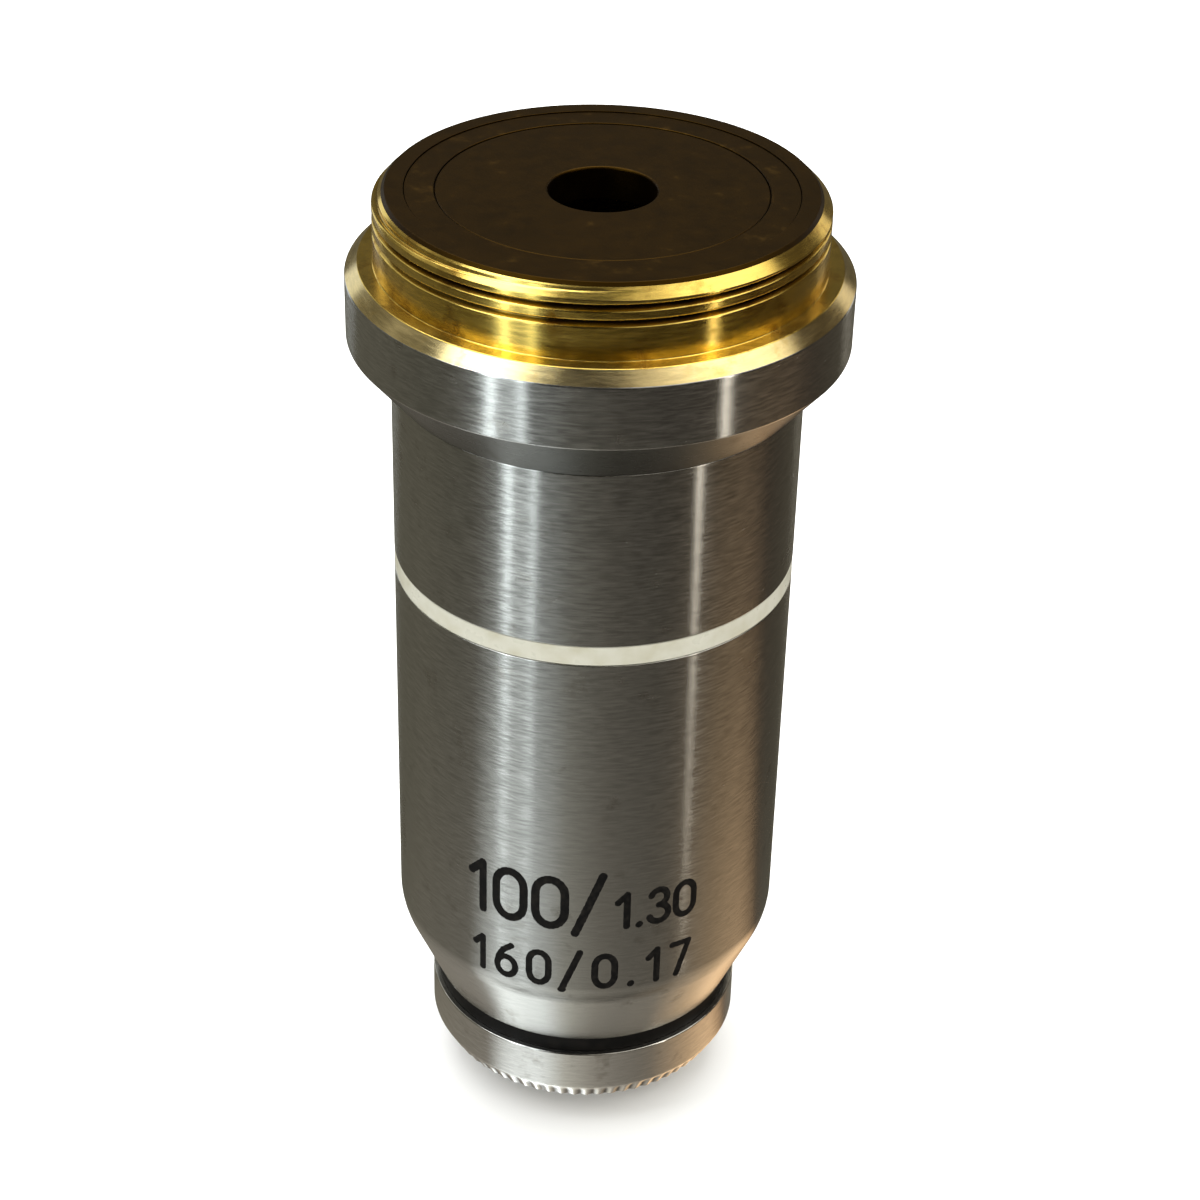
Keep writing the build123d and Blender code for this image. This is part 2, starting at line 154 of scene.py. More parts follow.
def turned_piece(name, outline, materials, finish_of=None, segments=192, cut=None, cut_rows=None):
    """Piece turned about the axis from a clockwise outline of (radius, height, corner radius) points.

    finish_of(radius, height) gives the number of the material. cut(radius, height, angles) gives how
    deep the surface is cut, and cut_rows is the top, bottom and spacing of the rows that carry it.
    """
    rows = []
    count = len(outline)
    for index in range(count):
        before, here, after = outline[index - 1], outline[index], outline[(index + 1) % count]
        rows += list(corner(before[:2], here[:2], after[:2], here[2]))
    if cut_rows:
        top, bottom, spacing = cut_rows
        finer = []
        for (place, normal), (next_place, _) in zip(rows, rows[1:] + rows[:1]):
            finer.append((place, normal))
            drop = place.y - next_place.y
            carries_cut = normal.x > FACES_OUT and next_place.y < top and place.y > bottom
            if carries_cut and drop > spacing:
                parts = math.ceil(drop / spacing)
                finer += [(place.lerp(next_place, part / parts), normal) for part in range(1, parts)]
        rows = finer
    radius = np.array([place.x for place, _ in rows])[:, None]
    height = np.array([place.y for place, _ in rows])[:, None]
    slope = np.array([tuple(normal) for _, normal in rows])
    angles = np.arange(segments)[None, :] * 2 * math.pi / segments
    depth = cut(radius, height, angles) if cut else np.zeros((len(rows), segments))
    cut_radius = radius - depth * slope[:, :1]
    cut_height = height - depth * slope[:, 1:]
    places = np.stack([cut_radius * np.cos(angles), cut_radius * np.sin(angles),
                       cut_height + 0 * angles], axis=2).reshape(-1, 3) * MM
    faces = []
    finishes = []
    for row in range(len(rows)):
        below = (row + 1) % len(rows)
        middle = (rows[row][0] + rows[below][0]) / 2
        finish = finish_of(middle.x, middle.y) if finish_of else 0
        for step in range(segments):
            beside = (step + 1) % segments
            faces.append((row * segments + step, below * segments + step,
                          below * segments + beside, row * segments + beside))
            finishes.append(finish)
    mesh = bpy.data.meshes.new(name)
    mesh.from_pydata(places.tolist(), [], faces)
    mesh.polygons.foreach_set("use_smooth", [True] * len(faces))
    mesh.polygons.foreach_set("material_index", finishes)
    for material in materials:
        mesh.materials.append(material)
    mesh.update()
    # Plain surfaces take the normals of the outline, and cut ones those of their own faces.
    normals = np.stack([slope[:, :1] * np.cos(angles), slope[:, :1] * np.sin(angles),
                        slope[:, 1:] + 0 * angles], axis=2).reshape(-1, 3)
    touched = np.abs(depth) > 0
    touched[1:] |= touched[:-1].copy()
    touched[:-1] |= touched[1:].copy()
    touched = touched.reshape(-1)
    own = np.zeros(len(places) * 3, np.float32)
    mesh.vertex_normals.foreach_get("vector", own)
    normals[touched] = own.reshape(-1, 3)[touched]
    mesh.normals_split_custom_set_from_vertices(normals.tolist())
    # Cut depth, kept for the material, which darkens cut bottoms: partly oil and dust, partly painted
    # shade.
    dirt_and_shade = mesh.attributes.new("dirt_and_shade", "FLOAT", "POINT")
    share_of_depth = depth / max(depth.max(), LEAST_DEPTH)
    dirt_and_shade.data.foreach_set("value", share_of_depth.reshape(-1).astype(np.float32))
    piece = bpy.data.objects.new(name, mesh)
    bpy.context.scene.collection.objects.link(piece)
    return piece


def colour(code):
    """Linear colour of an sRGB hex code."""
    parts = [int(code[index:index + 2], 16) / 255 for index in (1, 3, 5)]
    return tuple(part / 12.92 if part <= 0.04045 else ((part + 0.055) / 1.055) ** 2.4
                 for part in parts) + (1.0,)


def add(tree, kind, inputs=None, **settings):
    """Adds a node to a material. inputs gives each socket a value or the output that feeds it."""
    node = tree.nodes.new(kind)
    for name, value in settings.items():
        setattr(node, name, value)
    for socket, value in (inputs or {}).items():
        if isinstance(value, bpy.types.NodeSocket):
            tree.links.new(value, node.inputs[socket])
        else:
            node.inputs[socket].default_value = value
    return node


# Tool rings are drawn eight times as long as they are high, and darken the finest lines a little.
RING_STRETCH = 0.12
LINE_SHARE = 0.15
DIRT_AND_SHADE_SHARE = 0.9
DULL_ROUGHENS = 0.05
ALONG_AXIS = 0.25


def turned_metal(name, tone, dull_tone, roughness, smear, ring_width, tool_depth, patch_size,
                 patch_share):
    """Metal turned on a lathe: fine rings about the axis smear each reflection along it, and the
    bottoms of its grooves are darker, partly from oil and dust and partly as painted shade.

    ring_width, tool_depth and patch_size are in millimetres, and patch_share is how much of the
    surface is duller.
    """
    material = bpy.data.materials.new(name)
    material.use_nodes = True
    tree = material.node_tree
    tree.nodes.clear()
    place = add(tree, "ShaderNodeTexCoord").outputs["Object"]
    stretched = add(tree, "ShaderNodeMapping", {
        0: place, "Scale": (RING_STRETCH, RING_STRETCH, 1)}).outputs[0]
    rings = add(tree, "ShaderNodeTexNoise", {
        "Vector": stretched, "Scale": 1 / (ring_width * MM), "Detail": 3.0,
        "Roughness": 0.6}).outputs[0]
    patches = add(tree, "ShaderNodeTexNoise", {
        "Vector": place, "Scale": 1 / (patch_size * MM), "Detail": 6.0,
        "Roughness": 0.62}).outputs[0]
    dull = add(tree, "ShaderNodeMapRange", {
        0: patches, 1: 0.62 - patch_share, 2: 0.78 - patch_share, 3: 0.0, 4: 1.0}).outputs[0]
    clean = add(tree, "ShaderNodeMix", {0: dull, 6: colour(tone), 7: colour(dull_tone)},
                data_type="RGBA").outputs[2]
    lines = add(tree, "ShaderNodeMapRange", {
        0: rings, 1: 0.35, 2: 0.65, 3: 1 - LINE_SHARE, 4: 1 + LINE_SHARE / 3}).outputs[0]
    lined = add(tree, "ShaderNodeMix", {0: 1.0, 6: clean, 7: lines}, data_type="RGBA",
                blend_type="MULTIPLY").outputs[2]
    # The deepest cuts darken: partly dirt, partly painted shade.
    cut = add(tree, "ShaderNodeAttribute", attribute_name="dirt_and_shade").outputs["Fac"]
    dirt_and_shade = add(tree, "ShaderNodeMapRange", {
        0: cut, 1: 0.2, 2: 0.9, 3: 0.0, 4: DIRT_AND_SHADE_SHARE}).outputs[0]
    tint = add(tree, "ShaderNodeMix", {0: dirt_and_shade, 6: lined, 7: colour(DIRT_AND_SHADE_TONE)},
               data_type="RGBA").outputs[2]
    ring_rough = add(tree, "ShaderNodeMapRange", {
        0: rings, 1: 0.3, 2: 0.7, 3: roughness * 0.86, 4: roughness * 1.14}).outputs[0]
    rough = add(tree, "ShaderNodeMath", {0: dull, 1: DULL_ROUGHENS, 2: ring_rough},
                operation="MULTIPLY_ADD").outputs[0]
    bump = add(tree, "ShaderNodeBump", {
        "Height": rings, "Strength": 1.0, "Distance": tool_depth * MM}).outputs[0]
    around = add(tree, "ShaderNodeTangent", direction_type="RADIAL", axis="Z").outputs[0]
    surface = add(tree, "ShaderNodeBsdfPrincipled", {
        "Base Color": tint, "Metallic": 1.0, "Roughness": rough, "Anisotropic": smear,
        "Anisotropic Rotation": ALONG_AXIS, "Tangent": around, "Normal": bump}).outputs[0]
    add(tree, "ShaderNodeOutputMaterial", {0: surface})
    return material


# Turned brass under clear lacquer: saturated gold with browner patches where the lacquer has aged.
brass = turned_metal("lacquered_turned_brass", BRASS_TONE, BRASS_TARNISH, roughness=0.22, smear=0.8,
                     ring_width=0.14, tool_depth=0.001, patch_size=2.4, patch_share=0.1)
# Chromium over satin-turned brass: neutral grey, rings too fine to see drawn about 0.1 mm apart.
shoulder_plating = turned_metal("satin_turned_chromium", PLATING_TONE, PLATING_DULL, roughness=0.23,
                                smear=0.93, ring_width=0.1, tool_depth=0.001, patch_size=1.6,
                                patch_share=0.02)
# The underside of the shoulder: the same plating, rougher and in darker tones, as painted shade.
shaded_underside_plating = turned_metal("chromium_painted_shade", PLATING_SHADED, PLATING_SHADED_DULL, roughness=0.3,
                             smear=0.85, ring_width=0.1, tool_depth=0.001, patch_size=1.4,
                             patch_share=0.06)
# The chamfer of the seat, where the plating is rubbed thin over the brass and both show as a pale gold.
worn_edge = turned_metal("chromium_worn_to_brass", EDGE_TONE, EDGE_WORN, roughness=0.22, smear=0.7,
                         ring_width=0.14, tool_depth=0.001, patch_size=1.2, patch_share=0.06)

CLOUD_SIZE = 0.9
GRAIN_SIZE = 0.12
GRAIN_DEPTH = 0.003


def blackened_brass(name, worn_share):
    """Brass blackened in a chemical bath: brown-black and half matt, thinner where it is handled."""
    material = bpy.data.materials.new(name)
    material.use_nodes = True
    tree = material.node_tree
    tree.nodes.clear()
    place = add(tree, "ShaderNodeTexCoord").outputs["Object"]
    clouds = add(tree, "ShaderNodeTexNoise", {
        "Vector": place, "Scale": 1 / (CLOUD_SIZE * MM), "Detail": 5.0,
        "Roughness": 0.6}).outputs[0]
    worn = add(tree, "ShaderNodeMapRange", {
        0: clouds, 1: 0.66 - worn_share, 2: 0.86 - worn_share, 3: 0.0, 4: 1.0}).outputs[0]
    tint = add(tree, "ShaderNodeMix", {
        0: worn, 6: colour(BLACKENING_TONE), 7: colour(BLACKENING_WORN)},
        data_type="RGBA").outputs[2]
    rough = add(tree, "ShaderNodeMapRange", {0: clouds, 1: 0.25, 2: 0.75, 3: 0.36, 4: 0.5}).outputs[0]
    grain = add(tree, "ShaderNodeTexNoise", {
        "Vector": place, "Scale": 1 / (GRAIN_SIZE * MM), "Detail": 2.0}).outputs[0]
    bump = add(tree, "ShaderNodeBump", {
        "Height": grain, "Strength": 0.5, "Distance": GRAIN_DEPTH * MM}).outputs[0]
    surface = add(tree, "ShaderNodeBsdfPrincipled", {
        "Base Color": tint, "Metallic": 1.0, "Roughness": rough, "Normal": bump}).outputs[0]
    add(tree, "ShaderNodeOutputMaterial", {0: surface})
    return material


blackening = blackened_brass("chemically_blackened_brass", worn_share=0.0)


def thread_cut(radius, height, angles):
    """Depth of the helical groove, which rises anticlockwise and runs out over the collar."""
    from_front = angles + math.pi / 2
    phase = (height - THREAD_START) / THREAD_PITCH - from_front / (2 * math.pi)
    off_groove = phase - np.round(phase)
    groove_height = height - off_groove * THREAD_PITCH
    shape = np.clip(GROOVE_FLOOR - GROOVE_FLANK * np.abs(off_groove), 0, 1)
    shape = shape * shape * (3 - 2 * shape)
    run_out = np.clip((groove_height - THREAD_END) / THREAD_RUNOUT, 0, 1)
    lead_in = np.clip((THREAD_TOP - height) / THREAD_FADE, 0, 1)
    outside = radius > REAR_BLACK_R
    lost = np.clip(CREST_R - radius, 0, None)
    return np.clip(THREAD_DEPTH * shape * run_out * lead_in - lost, 0, None) * outside


def mount_finish(radius, height):
    """Black inside the rear edge, brass down to the seat, its worn chamfer, and plating below."""
    if radius < INSIDE_R or (height > RECESS_Z and radius < REAR_BLACK_R):
        return BLACK
    if height > SEAT_BREAK:
        return BRIGHT
    if height > BRASS_END:
        return WORN
    # Below the shoulder's side, the darker plating is painted shade.
    return PLATED if height > UNDERSIDE_TOP else SHADED_UNDERSIDE


mount = turned_piece("mount_shell", (
    (RECESS_R, REAR_Z, SHARP_EDGE), (REAR_EDGE_R, REAR_Z, 0.06), (CREST_R, LEAD_IN_Z, 0.08),
    (CREST_R, 0, 0.05), (SEAT_R, 0, 0.1), (SHOULDER_R, SHOULDER_TOP, 0.12),
    (SHOULDER_R, UNDERSIDE_TOP, 0.15), (BARREL_R, UNDERSIDE_END, 0.04),
    (GUIDE_R, UNDERSIDE_END, SHARP_EDGE), (GUIDE_R, GUIDE_TOP, SHARP_EDGE),
    (GUIDE_BORE_R, GUIDE_TOP, SHARP_EDGE), (GUIDE_BORE_R, SPRING_SEAT_Z, SHARP_EDGE),
    (LIGHT_BORE_R, SPRING_SEAT_Z, SHARP_EDGE), (LIGHT_BORE_R, RECESS_Z, SHARP_EDGE),
    (RECESS_R, RECESS_Z, SHARP_EDGE),
), (brass, blackening, shoulder_plating, worn_edge, shaded_underside_plating), mount_finish, segments=288,
    cut=thread_cut, cut_rows=THREAD_ROWS)
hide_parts("mount_body")
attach(mount, "housing")


# Guide tube. The lower end of the same brass body, bored for the lens carrier and left unplated inside
# the sleeve. A round-ended slot, milled through its back, takes the head of the guide pin.
GUIDE_END = -35.65
GUIDE_SLOT_HALF_WIDTH = 0.99
GUIDE_SLOT_ENDS = (-20.71, -18.69)
GUIDE_SLOT_DEPTHS = (6.9, 9.0)
SLOT_END_STEPS = 12
MILLED_EDGE = math.radians(30)
guide = turned_piece("guide_tube", (
    (GUIDE_BORE_R, GUIDE_TOP, SHARP_EDGE), (GUIDE_R, GUIDE_TOP, SHARP_EDGE),
    (GUIDE_R, GUIDE_END, 0.05), (GUIDE_BORE_R, GUIDE_END, 0.05),
), (brass,), segments=96)
mill = bmesh.new()
slot_bottom, slot_top = GUIDE_SLOT_ENDS
sweep = [math.pi * step / SLOT_END_STEPS for step in range(SLOT_END_STEPS + 1)]
mill_path = [(GUIDE_SLOT_HALF_WIDTH * math.cos(turn),
              slot_top + GUIDE_SLOT_HALF_WIDTH * math.sin(turn)) for turn in sweep]
mill_path += [(-across, slot_bottom + slot_top - up) for across, up in mill_path]
near, far = ([mill.verts.new((across * MM, depth * MM, up * MM)) for across, up in mill_path]
             for depth in GUIDE_SLOT_DEPTHS)
mill.faces.new(near)
mill.faces.new(far[::-1])
for index in range(len(near)):
    mill.faces.new((near[index], near[index - 1], far[index - 1], far[index]))
bmesh.ops.recalc_face_normals(mill, faces=mill.faces)
mill_mesh = bpy.data.meshes.new("slot_mill")
mill.to_mesh(mill_mesh)
mill.free()
slot_mill = bpy.data.objects.new("slot_mill", mill_mesh)
bpy.context.scene.collection.objects.link(slot_mill)
milling = guide.modifiers.new("slot", "BOOLEAN")
milling.operation = "DIFFERENCE"
milling.solver = "EXACT"
milling.object = slot_mill
milled_guide = guide.evaluated_get(bpy.context.evaluated_depsgraph_get())
milled = bpy.data.meshes.new_from_object(milled_guide)
guide.modifiers.clear()
guide.data = milled
bpy.data.objects.remove(slot_mill)
milled.set_sharp_from_angle(angle=MILLED_EDGE)
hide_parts("mount_body")
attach(guide, "housing")


# Rear stop and its ring. The stop is a blackened brass disc with the round exit hole, and the threaded
# ring over its flange holds it down in the recess of the body.
EXIT_HOLE_R = 2.42
STOP_R = 7.38
STOP_FACE_Z = 3.27
FLANGE_R = 8.6
FLANGE_Z = 2.35
STOP_RING_BORE_R = 7.41
STOP_RING_R = 8.72
STOP_RING_Z = 3.30
stop = turned_piece("rear_stop_disc", (
    (EXIT_HOLE_R, STOP_FACE_Z, 0.12), (STOP_R, STOP_FACE_Z, 0.07), (STOP_R, FLANGE_Z, SHARP_EDGE),
    (FLANGE_R, FLANGE_Z, SHARP_EDGE), (FLANGE_R, RECESS_Z, SHARP_EDGE),
    (EXIT_HOLE_R, RECESS_Z, SHARP_EDGE),
), (blackening,))
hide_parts("rear_stop")
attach(stop, "housing")
ring_blackening = blackened_brass("blackened_brass_ring", worn_share=0.08)
stop_ring = turned_piece("rear_stop_ring", (
    (STOP_RING_BORE_R, STOP_RING_Z, 0.05), (STOP_RING_R, STOP_RING_Z, SHARP_EDGE),
    (STOP_RING_R, FLANGE_Z, SHARP_EDGE), (STOP_RING_BORE_R, FLANGE_Z, SHARP_EDGE),
), (ring_blackening,))
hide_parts("rear_ring")
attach(stop_ring, "housing")


# Barrel sleeve. A brass tube, satin-turned and chromium plated, that is slid over the guide tube of the
# body. It tapers at the nose, has a groove for the colour ring, and its neck stops the lens carrier.
SLEEVE_BORE_R = 8.58
GROOVE_R = 9.14
GROOVE_TOP = -14.62
GROOVE_END = -15.64
TAPER_TOP = -35.0
TAPER_ROUNDING = 3.0
NOSE_R = 7.64
NOSE_END = -39.15
SPIGOT_R = 7.10
SPIGOT_END = -41.95
NECK_BORE_R = 6.20
sleeve_plating = turned_metal("satin_turned_chromium_sleeve", PLATING_TONE, PLATING_DULL,
                              roughness=0.23, smear=0.93, ring_width=0.1, tool_depth=0.001,
                              patch_size=1.6, patch_share=0.02)
sleeve = turned_piece("barrel_tube", (
    (SLEEVE_BORE_R, UNDERSIDE_END, 0.03), (BARREL_R, UNDERSIDE_END, 0.05),
    (BARREL_R, GROOVE_TOP, 0.04), (GROOVE_R, GROOVE_TOP, SHARP_EDGE),
    (GROOVE_R, GROOVE_END, SHARP_EDGE), (BARREL_R, GROOVE_END, 0.04),
    (BARREL_R, TAPER_TOP, TAPER_ROUNDING), (NOSE_R, NOSE_END, 0.05),
    (SPIGOT_R, NOSE_END, SHARP_EDGE), (SPIGOT_R, SPIGOT_END, 0.03), (NECK_BORE_R, SPIGOT_END, 0.03),
    (NECK_BORE_R, GUIDE_END, 0.03), (SLEEVE_BORE_R, GUIDE_END, 0.03),
), (sleeve_plating,), segments=256)
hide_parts("barrel_sleeve")
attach(sleeve, "housing")


# Colour ring. Cream enamel, run into the groove of the sleeve while soft and baked; it gives the
# magnification by its colour and lies a hair below the metal.
ENAMEL_BED_R = 9.16
ENAMEL_R = 9.43
ENAMEL_TOP = -14.64
ENAMEL_END = -15.62
ENAMEL_TONE = "#B0AEA0"
ENAMEL_AGED = "#A4A08C"
COAT_UNEVENNESS = 0.004
COAT_IOR = 1.5


def enamel_coat(name, tone, aged_tone, roughness, speck_size, gloss):
    """Paint or enamel: one even colour that has yellowed or dulled in soft patches, not quite flat.

    speck_size is the size of the patches in millimetres, and gloss the specular level.
    """
    material = bpy.data.materials.new(name)
    material.use_nodes = True
    tree = material.node_tree
    tree.nodes.clear()
    place = add(tree, "ShaderNodeTexCoord").outputs["Object"]
    patches = add(tree, "ShaderNodeTexNoise", {
        "Vector": place, "Scale": 1 / (speck_size * MM), "Detail": 4.0}).outputs[0]
    aged = add(tree, "ShaderNodeMapRange", {0: patches, 1: 0.45, 2: 0.75, 3: 0.0, 4: 1.0}).outputs[0]
    tint = add(tree, "ShaderNodeMix", {0: aged, 6: colour(tone), 7: colour(aged_tone)},
               data_type="RGBA").outputs[2]
    rough = add(tree, "ShaderNodeMapRange", {
        0: patches, 1: 0.3, 2: 0.7, 3: roughness * 0.85, 4: roughness * 1.15}).outputs[0]
    bump = add(tree, "ShaderNodeBump", {
        "Height": patches, "Strength": 0.6, "Distance": COAT_UNEVENNESS * MM}).outputs[0]
    surface = add(tree, "ShaderNodeBsdfPrincipled", {
        "Base Color": tint, "Roughness": rough, "IOR": COAT_IOR, "Specular IOR Level": gloss,
        "Normal": bump}).outputs[0]
    add(tree, "ShaderNodeOutputMaterial", {0: surface})
    return material


cream_enamel = enamel_coat("baked_cream_enamel", ENAMEL_TONE, ENAMEL_AGED, roughness=0.3,
                           speck_size=1.2, gloss=0.5)
colour_ring = turned_piece("colour_ring", (
    (ENAMEL_BED_R, ENAMEL_TOP, SHARP_EDGE), (ENAMEL_R, ENAMEL_TOP, 0.06),
    (ENAMEL_R, ENAMEL_END, 0.06), (ENAMEL_BED_R, ENAMEL_END, SHARP_EDGE),
), (cream_enamel,), segments=256)
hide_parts("colour_band")
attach(colour_ring, "housing")


# Immersion ring. A black-lacquered ring held on the spigot between the sleeve and the front ring; its
# colour says that the lens is used with oil.
RING_BORE_R = 7.13
IMMERSION_RING_R = 7.55
IMMERSION_RING_END = -40.02
LACQUER_TONE = "#0B0A09"
LACQUER_AGED = "#15120F"
black_lacquer = enamel_coat("black_lacquer", LACQUER_TONE, LACQUER_AGED, roughness=0.5,
                            speck_size=0.8, gloss=0.12)
immersion_ring = turned_piece("immersion_ring", (
    (RING_BORE_R, NOSE_END, SHARP_EDGE), (IMMERSION_RING_R, NOSE_END, 0.06),
    (IMMERSION_RING_R, IMMERSION_RING_END, 0.06), (RING_BORE_R, IMMERSION_RING_END, SHARP_EDGE),
), (black_lacquer,), segments=256)
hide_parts("immersion_band")
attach(immersion_ring, "housing")


# Front ring. Turned and chromium plated, screwed on the spigot of the sleeve; fine straight serrations
# are cut in its sloping edge so that it can be gripped.
FRONT_RING_R = 7.825
SLOPE_TOP = -42.22
SLOPE_END_R = 7.27
FRONT_RING_END = -43.22
OPENING_R = 5.45
OPENING_TOP = -42.05
SERRATIONS = 72
STEPS_PER_SERRATION = 8
SERRATION_DEPTH = 0.07
SERRATION_TOP = -42.2
SERRATION_RUNOUT = 0.5
SERRATION_INNER_R = 6.8
RIDGE_SLOPE = 1.15
RIDGE_FLAT = 0.1
SERRATION_ROWS = (-42.1, -43.3, 0.08)
# The ring's plating is paler than the sleeve's, a painted brightening of its highlights.
RING_LIT_TONE = "#E2E1DC"
RING_LIT_DULL = "#C4C0B8"
ring_plating = turned_metal("satin_turned_chromium_ring", RING_LIT_TONE, RING_LIT_DULL, roughness=0.2,
                            smear=0.75, ring_width=0.1, tool_depth=0.001, patch_size=1.8,
                            patch_share=0.04)


def serration_cut(radius, height, angles):
    """Depth of the straight serrations, which deepen towards the end of the ring."""
    down = np.clip((SERRATION_TOP - height) / SERRATION_RUNOUT, 0, 1) * (radius > SERRATION_INNER_R)
    ridge = np.abs((angles * SERRATIONS / (2 * math.pi)) % 1 - 0.5) * 2
    return SERRATION_DEPTH * np.clip(RIDGE_SLOPE * ridge - RIDGE_FLAT, 0, 1) * down


front = turned_piece("serrated_front_ring", (
    (RING_BORE_R, IMMERSION_RING_END, 0.03), (FRONT_RING_R, IMMERSION_RING_END, 0.06),
    (FRONT_RING_R, SLOPE_TOP, 0.08), (SLOPE_END_R, FRONT_RING_END, 0.08),
    (OPENING_R, FRONT_RING_END, 0.05), (OPENING_R, OPENING_TOP, 0.03),
    (RING_BORE_R, OPENING_TOP, 0.03),
), (ring_plating,), segments=SERRATIONS * STEPS_PER_SERRATION, cut=serration_cut,
    cut_rows=SERRATION_ROWS)
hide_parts("front_ring")
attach(front, "housing")


# Nose cell. The conical front cell, turned, chromium plated and polished, that screws into the lens
# carrier; it stands out of the front ring, and its front lens meets the oil.
CELL_BORE_R = 3.6
CELL_TOP = -39.0
CELL_SCREW_R = 4.87
CELL_SHOULDER_Z = -41.8
CELL_R = 5.30
CONE_TOP = -43.3
FRONT_FACE_R = 3.3
FRONT_FACE_Z = -44.9
LENS_HOLE_R = 1.08
LENS_LIP_Z = -44.42
LENS_LIP_R = 0.95
LENS_LIP_BREAK_Z = -44.4
LENS_LIP_TOP = -44.15
LENS_SEAT_R = 2.2
LENS_SEAT_Z = -43.4
tip_plating = turned_metal("polished_chromium_tip", PLATING_TONE, PLATING_DULL, roughness=0.2,
                           smear=0.6, ring_width=0.08, tool_depth=0.0006, patch_size=1.5,
                           patch_share=0.0)
nose = turned_piece("nose_cone", (
    (CELL_BORE_R, CELL_TOP, SHARP_EDGE), (CELL_SCREW_R, CELL_TOP, SHARP_EDGE),
    (CELL_SCREW_R, CELL_SHOULDER_Z, SHARP_EDGE), (CELL_R, CELL_SHOULDER_Z, 0.04),
    (CELL_R, CONE_TOP, 0.06), (FRONT_FACE_R, FRONT_FACE_Z, 0.05), (LENS_HOLE_R, FRONT_FACE_Z, 0.03),
    (LENS_HOLE_R, LENS_LIP_Z, SHARP_EDGE), (LENS_LIP_R, LENS_LIP_BREAK_Z, SHARP_EDGE),
    (LENS_LIP_R, LENS_LIP_TOP, SHARP_EDGE), (LENS_SEAT_R, LENS_SEAT_Z, SHARP_EDGE),
    (CELL_BORE_R, LENS_SEAT_Z, SHARP_EDGE),
), (tip_plating,))
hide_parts("nose_cell")
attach(nose, "front_carrier")


# Inner pieces. The lens carrier and its cells, spacers and rings are blackened brass, the washer and
# the guide pin are steel, and the lenses are ground and polished optical glass. All keep their solids.
STEEL_TONE = "#B4B3AF"
STEEL_DULL = "#8F8B84"
GLASS_TONE = "#F4F8F6"
GLASS_IOR = 1.52
WIPING_SIZE = 0.6
inner_blackening = blackened_brass("blackened_inner_brass", worn_share=0.02)
spring_steel = turned_metal("drawn_steel", STEEL_TONE, STEEL_DULL, roughness=0.3, smear=0.3,
                            ring_width=0.1, tool_depth=0.0008, patch_size=2.0, patch_share=0.05)


def optical_glass(name):
    """Ground and polished crown glass: clear, with a faint trace of wiping on the coating."""
    material = bpy.data.materials.new(name)
    material.use_nodes = True
    tree = material.node_tree
    tree.nodes.clear()
    place = add(tree, "ShaderNodeTexCoord").outputs["Object"]
    wiping = add(tree, "ShaderNodeTexNoise", {
        "Vector": place, "Scale": 1 / (WIPING_SIZE * MM), "Detail": 3.0}).outputs[0]
    rough = add(tree, "ShaderNodeMapRange", {0: wiping, 1: 0.4, 2: 0.8, 3: 0.0, 4: 0.04}).outputs[0]
    surface = add(tree, "ShaderNodeBsdfPrincipled", {
        "Base Color": colour(GLASS_TONE), "Roughness": rough, "IOR": GLASS_IOR,
        "Transmission Weight": 1.0}).outputs[0]
    add(tree, "ShaderNodeOutputMaterial", {0: surface})
    return material


glass = optical_glass("polished_optical_glass")
inner_finishes = {
    inner_blackening: ("lens_carrier", "meniscus_cell", "lower_pair_cell", "upper_pair_cell",
                       "pair_spacer", "top_spacer", "lock_ring"),
    spring_steel: ("thrust_washer", "guide_pin"),
    glass: ("front_lens", "meniscus_lens", "lower_crown_lens", "lower_flint_lens",
            "upper_crown_lens", "upper_flint_lens"),
}
for material, names in inner_finishes.items():
    for node_name in names:
        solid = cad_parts[node_name]
        solid.data.materials.clear()
        solid.data.materials.append(material)


# Return spring. Hard-drawn steel wire, wound right-handed with its end turns closed and ground flat. It
# is held between the recess of the body and the carrier's washer, and shortens as the front slides back.
SPRING_R = 6.45
SPRING_WIRE_R = 0.45
SPRING_ENDS = (-13.995, -4.005)
SPRING_TURNS = 6
CLOSED_PITCH = 0.94
WIRE_SIDES = 16
TURN_STEPS = 48
GROUND_EDGE = math.radians(35)
spring_foot, spring_head = SPRING_ENDS
winding = np.arange(SPRING_TURNS * TURN_STEPS + 1)[:, None] / TURN_STEPS
round_wire = np.arange(WIRE_SIDES)[None, :] * 2 * math.pi / WIRE_SIDES
centre_line = np.interp(winding, (0, 1, SPRING_TURNS - 1, SPRING_TURNS), (
    spring_foot, spring_foot + CLOSED_PITCH, spring_head - CLOSED_PITCH, spring_head))
wire_radius = SPRING_R + SPRING_WIRE_R * np.cos(round_wire) + 0 * winding
wire_height = np.clip(centre_line + SPRING_WIRE_R * np.sin(round_wire), spring_foot, spring_head)
wire_places = np.stack([wire_radius * np.cos(2 * math.pi * winding),
                        wire_radius * np.sin(2 * math.pi * winding),
                        wire_height], axis=2).reshape(-1, 3) * MM
first_end = list(range(WIRE_SIDES))[::-1]
last_end = [len(wire_places) - WIRE_SIDES + side for side in range(WIRE_SIDES)]
wire_faces = [first_end, last_end]
for ring in range(SPRING_TURNS * TURN_STEPS):
    for side in range(WIRE_SIDES):
        beside = (side + 1) % WIRE_SIDES
        wire_faces.append((ring * WIRE_SIDES + side, (ring + 1) * WIRE_SIDES + side,
                           (ring + 1) * WIRE_SIDES + beside, ring * WIRE_SIDES + beside))
spring_mesh = bpy.data.meshes.new("coil_spring")
spring_mesh.from_pydata(wire_places.tolist(), [], wire_faces)
winder = bmesh.new()
winder.from_mesh(spring_mesh)
bmesh.ops.recalc_face_normals(winder, faces=winder.faces)
winder.to_mesh(spring_mesh)
winder.free()
